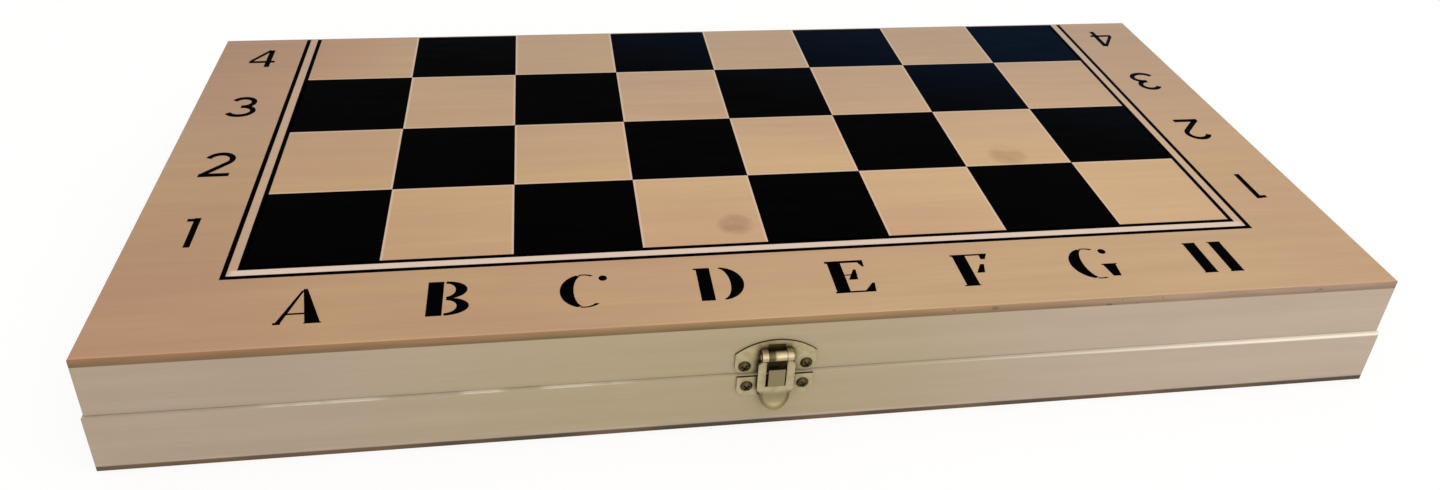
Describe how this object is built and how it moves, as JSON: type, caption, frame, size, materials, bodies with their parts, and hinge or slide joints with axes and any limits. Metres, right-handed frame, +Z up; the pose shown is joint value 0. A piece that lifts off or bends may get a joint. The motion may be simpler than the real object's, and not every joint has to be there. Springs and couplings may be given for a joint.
{
  "type": "chess set",
  "caption": "Chess set in a folding wooden case: two hinged trays whose outer faces make the board, a small front latch, and the chessmen lying inside.",
  "frame": {"origin": "centre of the lower panel's underside, the flat face that the closed case rests on", "axes": "+X along the front from the a file to the h file, +Y towards the hinges at the back, +Z up"},
  "size_m": [0.34, 0.1729, 0.0352],
  "materials": {
    "board_panel": "satin",
    "rail_wood": "raw",
    "thin_brass": "plated, worn",
    "screw_steel": "brass-washed",
    "light_wood": "lacquered",
    "dark_wood": "lacquered"
  },
  "bodies": {
    "lower_half": {"hinge_lower_screws": "screw_steel", "latch_lower_plate": "thin_brass", "latch_lower_screws": "screw_steel", "left_hinge_lower_leaf": "thin_brass", "left_hinge_pin": "screw_steel", "lower_back_rail": "rail_wood", "lower_front_rail": "rail_wood", "lower_left_rail": "rail_wood", "lower_panel": "board_panel", "lower_right_rail": "rail_wood", "right_hinge_lower_leaf": "thin_brass", "right_hinge_pin": "screw_steel"},
    "lid": {"hinge_upper_screws": "screw_steel", "latch_pin": "screw_steel", "latch_upper_plate": "thin_brass", "latch_upper_screws": "screw_steel", "left_hinge_upper_leaf": "thin_brass", "right_hinge_upper_leaf": "thin_brass", "upper_back_rail": "rail_wood", "upper_front_rail": "rail_wood", "upper_left_rail": "rail_wood", "upper_panel": "board_panel", "upper_right_rail": "rail_wood"},
    "hasp": {"latch_hasp": "thin_brass"},
    "white_king": {"white_king": "light_wood"},
    "white_queen": {"white_queen": "light_wood"},
    "white_bishop_1": {"white_bishop_1": "light_wood"},
    "white_bishop_2": {"white_bishop_2": "light_wood"},
    "white_knight_1": {"white_knight_1": "light_wood"},
    "white_knight_2": {"white_knight_2": "light_wood"},
    "white_rook_1": {"white_rook_1": "light_wood"},
    "white_rook_2": {"white_rook_2": "light_wood"},
    "white_pawn_1": {"white_pawn_1": "light_wood"},
    "white_pawn_2": {"white_pawn_2": "light_wood"},
    "white_pawn_3": {"white_pawn_3": "light_wood"},
    "white_pawn_4": {"white_pawn_4": "light_wood"},
    "white_pawn_5": {"white_pawn_5": "light_wood"},
    "white_pawn_6": {"white_pawn_6": "light_wood"},
    "white_pawn_7": {"white_pawn_7": "light_wood"},
    "white_pawn_8": {"white_pawn_8": "light_wood"},
    "black_king": {"black_king": "dark_wood"},
    "black_queen": {"black_queen": "dark_wood"},
    "black_bishop_1": {"black_bishop_1": "dark_wood"},
    "black_bishop_2": {"black_bishop_2": "dark_wood"},
    "black_knight_1": {"black_knight_1": "dark_wood"},
    "black_knight_2": {"black_knight_2": "dark_wood"},
    "black_rook_1": {"black_rook_1": "dark_wood"},
    "black_rook_2": {"black_rook_2": "dark_wood"},
    "black_pawn_1": {"black_pawn_1": "dark_wood"},
    "black_pawn_2": {"black_pawn_2": "dark_wood"},
    "black_pawn_3": {"black_pawn_3": "dark_wood"},
    "black_pawn_4": {"black_pawn_4": "dark_wood"},
    "black_pawn_5": {"black_pawn_5": "dark_wood"},
    "black_pawn_6": {"black_pawn_6": "dark_wood"},
    "black_pawn_7": {"black_pawn_7": "dark_wood"},
    "black_pawn_8": {"black_pawn_8": "dark_wood"}
  },
  "joints": [
    {"name": "case_hinge", "type": "hinge", "parent": "lower_half", "child": "lid", "pos_m": [0, 0.084, 0.0176], "axis": [-1, 0, 0], "range_deg": [0, 180]},
    {"name": "hasp_hinge", "type": "hinge", "parent": "lid", "child": "hasp", "pos_m": [-0.0032, -0.0851, 0.0244], "axis": [-1, 0, 0], "range_deg": [0, 120]},
    {"name": "lift_white_king", "type": "slide", "parent": "lower_half", "child": "white_king", "axis": [0, 0, 1], "range_m": [0, 0.0057]},
    {"name": "lift_white_queen", "type": "slide", "parent": "lower_half", "child": "white_queen", "axis": [0, 0, 1], "range_m": [0, 0.0057]},
    {"name": "lift_white_bishop_1", "type": "slide", "parent": "lower_half", "child": "white_bishop_1", "axis": [0, 0, 1], "range_m": [0, 0.0078]},
    {"name": "lift_white_bishop_2", "type": "slide", "parent": "lower_half", "child": "white_bishop_2", "axis": [0, 0, 1], "range_m": [0, 0.0078]},
    {"name": "lift_white_knight_1", "type": "slide", "parent": "lower_half", "child": "white_knight_1", "axis": [0, 0, 1], "range_m": [0, 0.0078]},
    {"name": "lift_white_knight_2", "type": "slide", "parent": "lower_half", "child": "white_knight_2", "axis": [0, 0, 1], "range_m": [0, 0.0078]},
    {"name": "lift_white_rook_1", "type": "slide", "parent": "lower_half", "child": "white_rook_1", "axis": [0, 0, 1], "range_m": [0, 0.0077]},
    {"name": "lift_white_rook_2", "type": "slide", "parent": "lower_half", "child": "white_rook_2", "axis": [0, 0, 1], "range_m": [0, 0.0077]},
    {"name": "lift_white_pawn_1", "type": "slide", "parent": "lower_half", "child": "white_pawn_1", "axis": [0, 0, 1], "range_m": [0, 0.0098]},
    {"name": "lift_white_pawn_2", "type": "slide", "parent": "lower_half", "child": "white_pawn_2", "axis": [0, 0, 1], "range_m": [0, 0.0098]},
    {"name": "lift_white_pawn_3", "type": "slide", "parent": "lower_half", "child": "white_pawn_3", "axis": [0, 0, 1], "range_m": [0, 0.0098]},
    {"name": "lift_white_pawn_4", "type": "slide", "parent": "lower_half", "child": "white_pawn_4", "axis": [0, 0, 1], "range_m": [0, 0.0098]},
    {"name": "lift_white_pawn_5", "type": "slide", "parent": "lower_half", "child": "white_pawn_5", "axis": [0, 0, 1], "range_m": [0, 0.0098]},
    {"name": "lift_white_pawn_6", "type": "slide", "parent": "lower_half", "child": "white_pawn_6", "axis": [0, 0, 1], "range_m": [0, 0.0098]},
    {"name": "lift_white_pawn_7", "type": "slide", "parent": "lower_half", "child": "white_pawn_7", "axis": [0, 0, 1], "range_m": [0, 0.0098]},
    {"name": "lift_white_pawn_8", "type": "slide", "parent": "lower_half", "child": "white_pawn_8", "axis": [0, 0, 1], "range_m": [0, 0.0098]},
    {"name": "lift_black_king", "type": "slide", "parent": "lower_half", "child": "black_king", "axis": [0, 0, 1], "range_m": [0, 0.0057]},
    {"name": "lift_black_queen", "type": "slide", "parent": "lower_half", "child": "black_queen", "axis": [0, 0, 1], "range_m": [0, 0.0057]},
    {"name": "lift_black_bishop_1", "type": "slide", "parent": "lower_half", "child": "black_bishop_1", "axis": [0, 0, 1], "range_m": [0, 0.0078]},
    {"name": "lift_black_bishop_2", "type": "slide", "parent": "lower_half", "child": "black_bishop_2", "axis": [0, 0, 1], "range_m": [0, 0.0078]},
    {"name": "lift_black_knight_1", "type": "slide", "parent": "lower_half", "child": "black_knight_1", "axis": [0, 0, 1], "range_m": [0, 0.0078]},
    {"name": "lift_black_knight_2", "type": "slide", "parent": "lower_half", "child": "black_knight_2", "axis": [0, 0, 1], "range_m": [0, 0.0078]},
    {"name": "lift_black_rook_1", "type": "slide", "parent": "lower_half", "child": "black_rook_1", "axis": [0, 0, 1], "range_m": [0, 0.0077]},
    {"name": "lift_black_rook_2", "type": "slide", "parent": "lower_half", "child": "black_rook_2", "axis": [0, 0, 1], "range_m": [0, 0.0077]},
    {"name": "lift_black_pawn_1", "type": "slide", "parent": "lower_half", "child": "black_pawn_1", "axis": [0, 0, 1], "range_m": [0, 0.0098]},
    {"name": "lift_black_pawn_2", "type": "slide", "parent": "lower_half", "child": "black_pawn_2", "axis": [0, 0, 1], "range_m": [0, 0.0098]},
    {"name": "lift_black_pawn_3", "type": "slide", "parent": "lower_half", "child": "black_pawn_3", "axis": [0, 0, 1], "range_m": [0, 0.0098]},
    {"name": "lift_black_pawn_4", "type": "slide", "parent": "lower_half", "child": "black_pawn_4", "axis": [0, 0, 1], "range_m": [0, 0.0098]},
    {"name": "lift_black_pawn_5", "type": "slide", "parent": "lower_half", "child": "black_pawn_5", "axis": [0, 0, 1], "range_m": [0, 0.0098]},
    {"name": "lift_black_pawn_6", "type": "slide", "parent": "lower_half", "child": "black_pawn_6", "axis": [0, 0, 1], "range_m": [0, 0.0098]},
    {"name": "lift_black_pawn_7", "type": "slide", "parent": "lower_half", "child": "black_pawn_7", "axis": [0, 0, 1], "range_m": [0, 0.0098]},
    {"name": "lift_black_pawn_8", "type": "slide", "parent": "lower_half", "child": "black_pawn_8", "axis": [0, 0, 1], "range_m": [0, 0.0098]}
  ]
}
